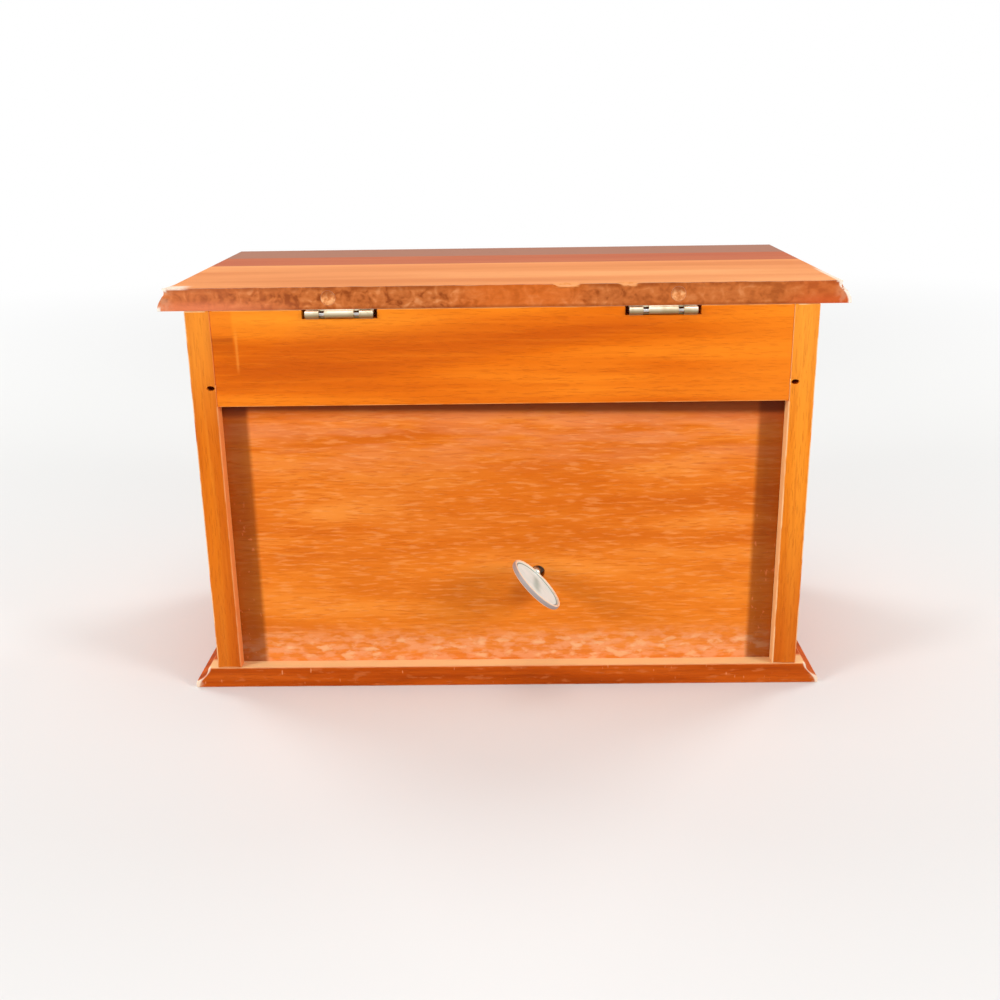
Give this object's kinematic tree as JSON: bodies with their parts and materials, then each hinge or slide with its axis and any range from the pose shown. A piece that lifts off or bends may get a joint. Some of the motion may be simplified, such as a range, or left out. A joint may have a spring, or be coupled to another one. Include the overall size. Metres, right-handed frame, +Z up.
{
  "type": "musical jewelry box",
  "caption": "Wooden musical jewelry box with a hinged moulded lid, a lined tray, front drawers and a key-wound movement behind its recessed back.",
  "frame": {"origin": "middle of the base board's underside", "axes": "+X to the right seen from the front, +Y from the front to the back, +Z up"},
  "size_m": [0.2482, 0.1472, 0.1579],
  "materials": {
    "case_wood": "stained and lacquered",
    "lid_wood": "stained and lacquered",
    "plywood": "stained plywood",
    "drawer_wood": "plain",
    "drawer_front_wood": "stained and lacquered",
    "lining_velvet": "flocked",
    "mirror_glass": "silvered",
    "hinge_brass": "plated, a little dull",
    "pin_steel": "bright",
    "key_nickel": "nickel plate",
    "knob_brass": "turned and polished",
    "screw_steel": "zinc plated",
    "cast_zinc": "cast, plain",
    "spring_steel": "ground",
    "movement_brass": "bright",
    "barrel_nickel": "nickel plate",
    "white_nylon": "moulded"
  },
  "bodies": {
    "case": {"base_board": "case_wood", "left_side_board": "case_wood", "right_side_board": "case_wood", "upper_back_board": "case_wood", "upper_front_board": "case_wood", "compartment_floor": "plywood", "back_panel": "plywood", "inner_back": "plywood", "drawer_shelf": "drawer_wood", "compartment_lining": "lining_velvet", "compartment_partition": "lining_velvet", "ring_rolls": "lining_velvet", "left_hinge_case_leaf": "hinge_brass", "right_hinge_case_leaf": "hinge_brass", "hinge_pins": "pin_steel", "hinge_case_screws": "hinge_brass", "movement_bedplate": "cast_zinc", "movement_screws": "screw_steel", "machine_screws": "screw_steel", "movement_bridge": "spring_steel", "tone_comb": "spring_steel", "click_spring": "pin_steel", "governor_bracket": "movement_brass"},
    "lid": {"lid_board": "lid_wood", "lid_plugs": "lid_wood", "lid_mirror": "mirror_glass", "mirror_surround": "lining_velvet", "left_hinge_lid_leaf": "hinge_brass", "right_hinge_lid_leaf": "hinge_brass", "hinge_lid_screws": "hinge_brass"},
    "lower_drawer": {"lower_drawer_front": "drawer_front_wood", "lower_drawer_left_side": "drawer_wood", "lower_drawer_right_side": "drawer_wood", "lower_drawer_back": "drawer_wood", "lower_drawer_bottom": "drawer_wood", "lower_drawer_lining": "lining_velvet", "lower_drawer_knobs": "knob_brass", "lower_drawer_knob_screws": "screw_steel"},
    "upper_drawer": {"upper_drawer_front": "drawer_front_wood", "upper_drawer_left_side": "drawer_wood", "upper_drawer_right_side": "drawer_wood", "upper_drawer_back": "drawer_wood", "upper_drawer_bottom": "drawer_wood", "upper_drawer_lining": "lining_velvet", "upper_drawer_knobs": "knob_brass", "upper_drawer_knob_screws": "screw_steel"},
    "key": {"winding_key": "key_nickel", "winding_arbor": "pin_steel"},
    "barrel": {"barrel_gear": "movement_brass", "spring_barrel": "barrel_nickel", "mainspring": "pin_steel"},
    "cylinder": {"pinned_cylinder": "movement_brass", "cylinder_pins": "movement_brass", "cylinder_arbor": "pin_steel", "cylinder_wheel": "movement_brass"},
    "idler": {"idler_wheel": "white_nylon"},
    "governor": {"governor_worm": "pin_steel", "governor_fan": "white_nylon"},
    "stop_lever": {"stop_lever": "pin_steel"},
    "stop_rod": {"stop_rod": "pin_steel"}
  },
  "joints": [
    {"name": "lid_hinge", "type": "hinge", "parent": "case", "child": "lid", "pos_m": [0, 0.06275, 0.1481], "axis": [-1, 0, 0], "range_deg": [0, 100]},
    {"name": "lower_drawer_slide", "type": "slide", "parent": "case", "child": "lower_drawer", "axis": [0, -1, 0], "range_m": [0, 0.06]},
    {"name": "upper_drawer_slide", "type": "slide", "parent": "case", "child": "upper_drawer", "axis": [0, -1, 0], "range_m": [0, 0.06]},
    {"name": "key_turn", "type": "hinge", "parent": "case", "child": "key", "pos_m": [-0.012, 0.05155, 0.046], "axis": [0, 1, 0], "continuous": true},
    {"name": "cylinder_spin", "type": "hinge", "parent": "case", "child": "cylinder", "pos_m": [-0.012, 0.04215, 0.046], "axis": [1, 0, 0], "continuous": true},
    {"name": "barrel_spin", "type": "hinge", "parent": "case", "child": "barrel", "pos_m": [-0.012, 0.05155, 0.046], "axis": [0, 1, 0], "continuous": true},
    {"name": "idler_spin", "type": "hinge", "parent": "case", "child": "idler", "pos_m": [-0.012, 0.04215, 0.05475], "axis": [1, 0, 0], "continuous": true},
    {"name": "governor_spin", "type": "hinge", "parent": "case", "child": "governor", "pos_m": [0.0261, 0.05155, 0.06075], "axis": [0, 1, 0], "continuous": true},
    {"name": "stop_lever_turn", "type": "hinge", "parent": "case", "child": "stop_lever", "pos_m": [0.01, 0.05155, 0.0626], "axis": [0, -1, 0], "range_deg": [0, 12]},
    {"name": "stop_rod_slide", "type": "slide", "parent": "case", "child": "stop_rod", "axis": [0, 0, 1], "range_m": [0, 0.0023]}
  ],
  "couplings": [
    {"joint": "barrel_spin", "follows": "cylinder_spin", "ratio": -0.25},
    {"joint": "idler_spin", "follows": "cylinder_spin", "ratio": -4},
    {"joint": "governor_spin", "follows": "cylinder_spin", "ratio": -96},
    {"joint": "stop_lever_turn", "follows": "lid_hinge", "ratio": 0.12},
    {"joint": "stop_rod_slide", "follows": "lid_hinge", "m_per_rad": 0.0013178}
  ]
}
